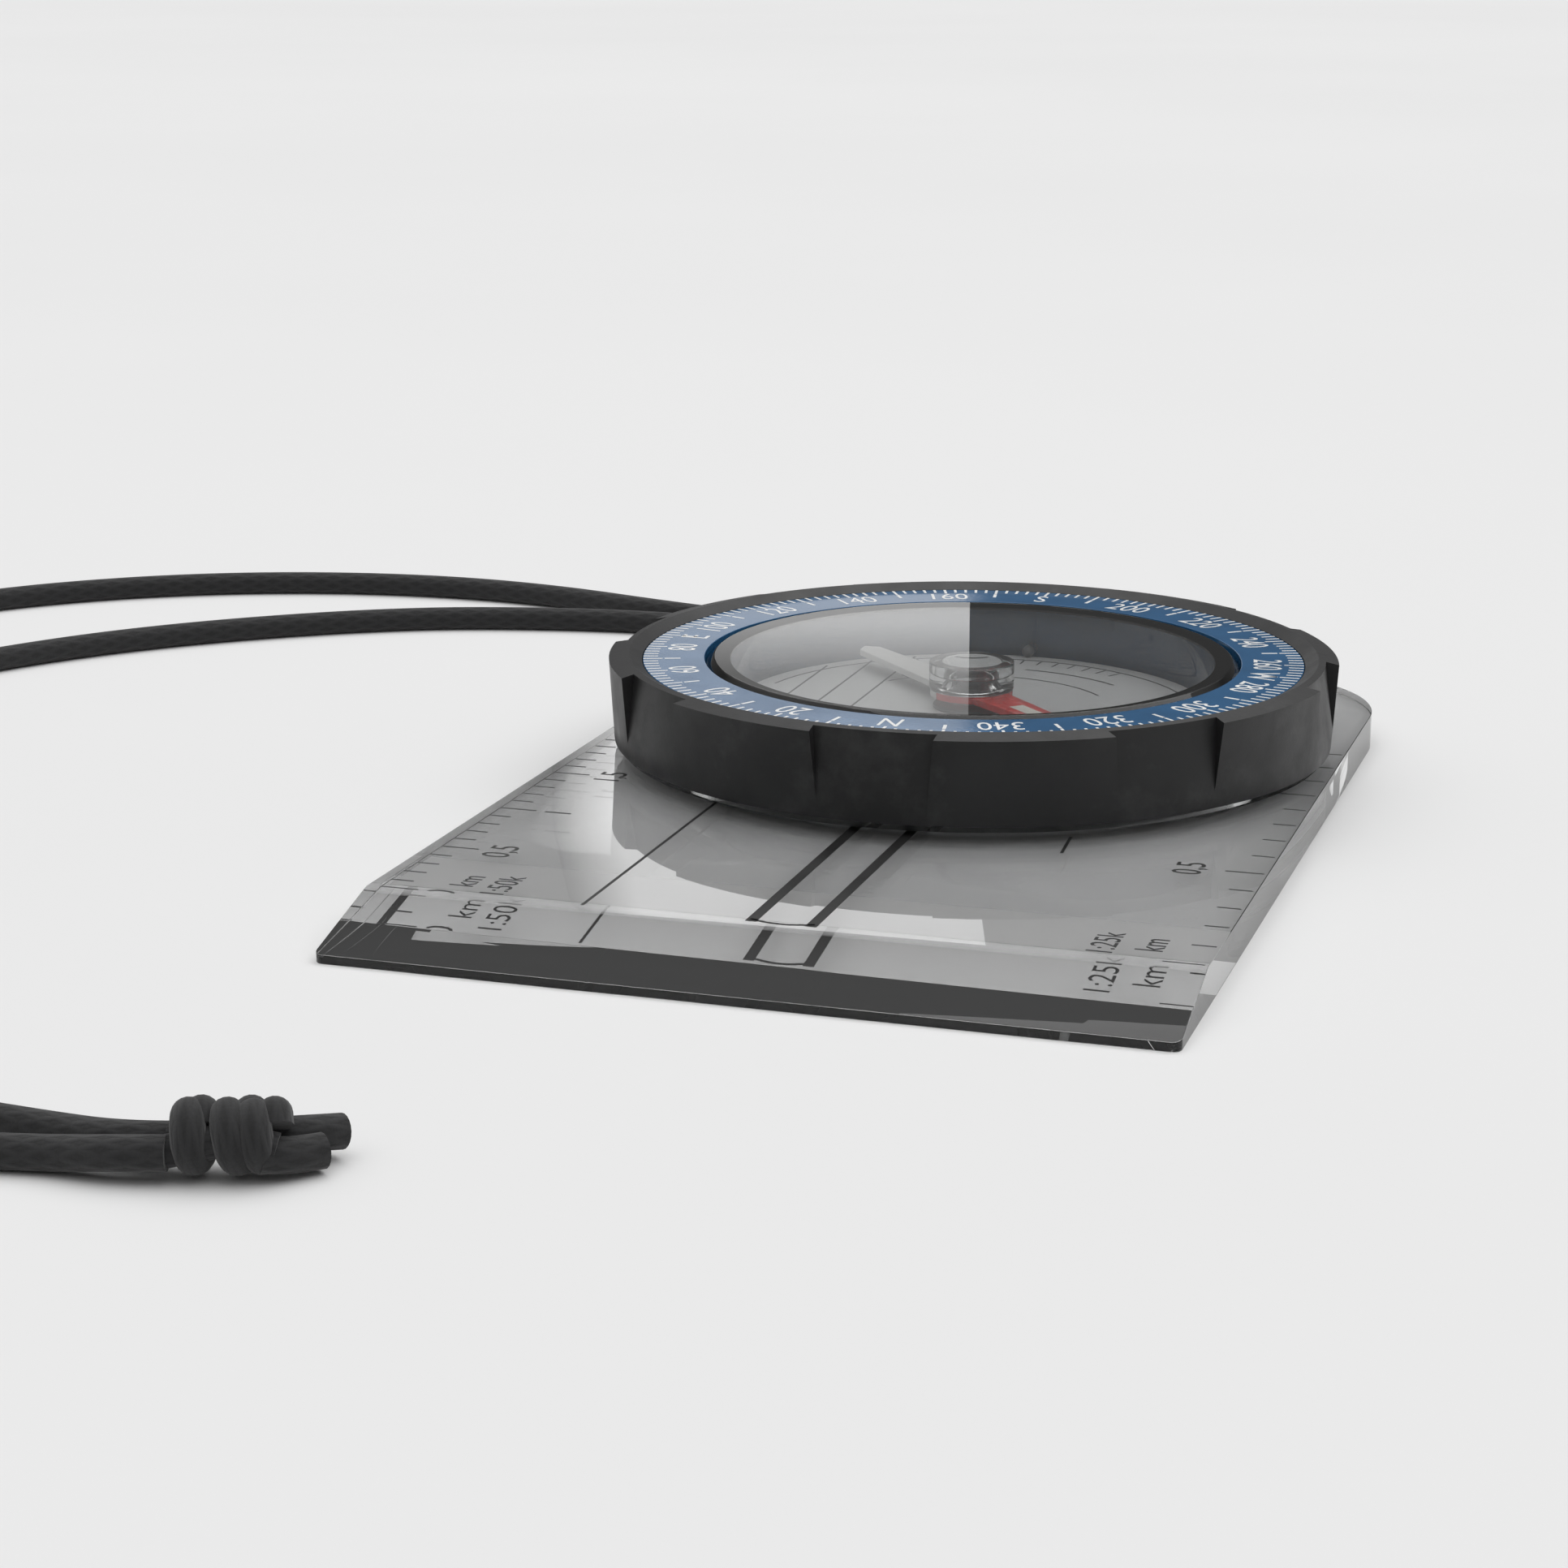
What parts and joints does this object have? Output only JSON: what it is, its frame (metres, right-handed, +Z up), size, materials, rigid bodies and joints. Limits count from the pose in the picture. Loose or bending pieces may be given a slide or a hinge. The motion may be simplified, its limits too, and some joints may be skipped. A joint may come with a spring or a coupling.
{
  "type": "baseplate compass",
  "caption": "Clear baseplate compass with a bevelled front edge, a turning black dial with a degree scale, a needle on a jewel bearing and a corded lanyard.",
  "frame": {"origin": "on the underside of the baseplate, at the middle of its width and length", "axes": "+Y is the direction of travel, towards the bevelled front edge; +Z is up out of the plate's top; +X is towards the side with the 1:50 000 scale"},
  "size_m": [0.1446, 0.1457, 0.0097],
  "materials": {
    "clear_acrylic": "polished clear acrylic",
    "black_plastic": "fine satin texture with handling marks",
    "blue_plastic": "printed blue with white degree marks",
    "white_card": "printed light grey",
    "grey_plastic": "satin",
    "red_paint": "gloss red north half, white south half",
    "luminous": "luminous paint",
    "bright_steel": "ground",
    "magnet_steel": "plain",
    "sapphire": "polished",
    "glide_plastic": "low-friction plastic",
    "black_cord": "braided polyester"
  },
  "bodies": {
    "plate": {"baseplate": "clear_acrylic", "glide_ring": "glide_plastic", "lanyard_bight": "black_cord", "lanyard_back_strand": "black_cord", "lanyard_front_strand": "black_cord", "lanyard_knot": "black_cord", "lanyard_tails": "black_cord"},
    "dial": {"dial_ring": "black_plastic", "degree_scale_ring": "blue_plastic", "capsule_cup": "clear_acrylic", "capsule_lid": "clear_acrylic", "declination_ring": "clear_acrylic", "orienting_card": "white_card", "fill_plug": "bright_steel", "snap_ring": "black_plastic", "pivot_base": "grey_plastic", "pivot_post": "grey_plastic", "pivot_pin": "bright_steel"},
    "needle": {"needle_blade": "red_paint", "needle_luminous_inlay": "luminous", "needle_magnet": "magnet_steel", "hub_cap": "clear_acrylic", "jewel_holder": "grey_plastic", "jewel_bearing": "sapphire"}
  },
  "joints": [
    {"name": "dial_turn", "type": "hinge", "parent": "plate", "child": "dial", "pos_m": [0, -0.0125, 0.003], "axis": [0, 0, 1], "continuous": true},
    {"name": "needle_swing", "type": "hinge", "parent": "dial", "child": "needle", "pos_m": [0, -0.0125, 0.006], "axis": [0, 0, 1], "continuous": true}
  ]
}
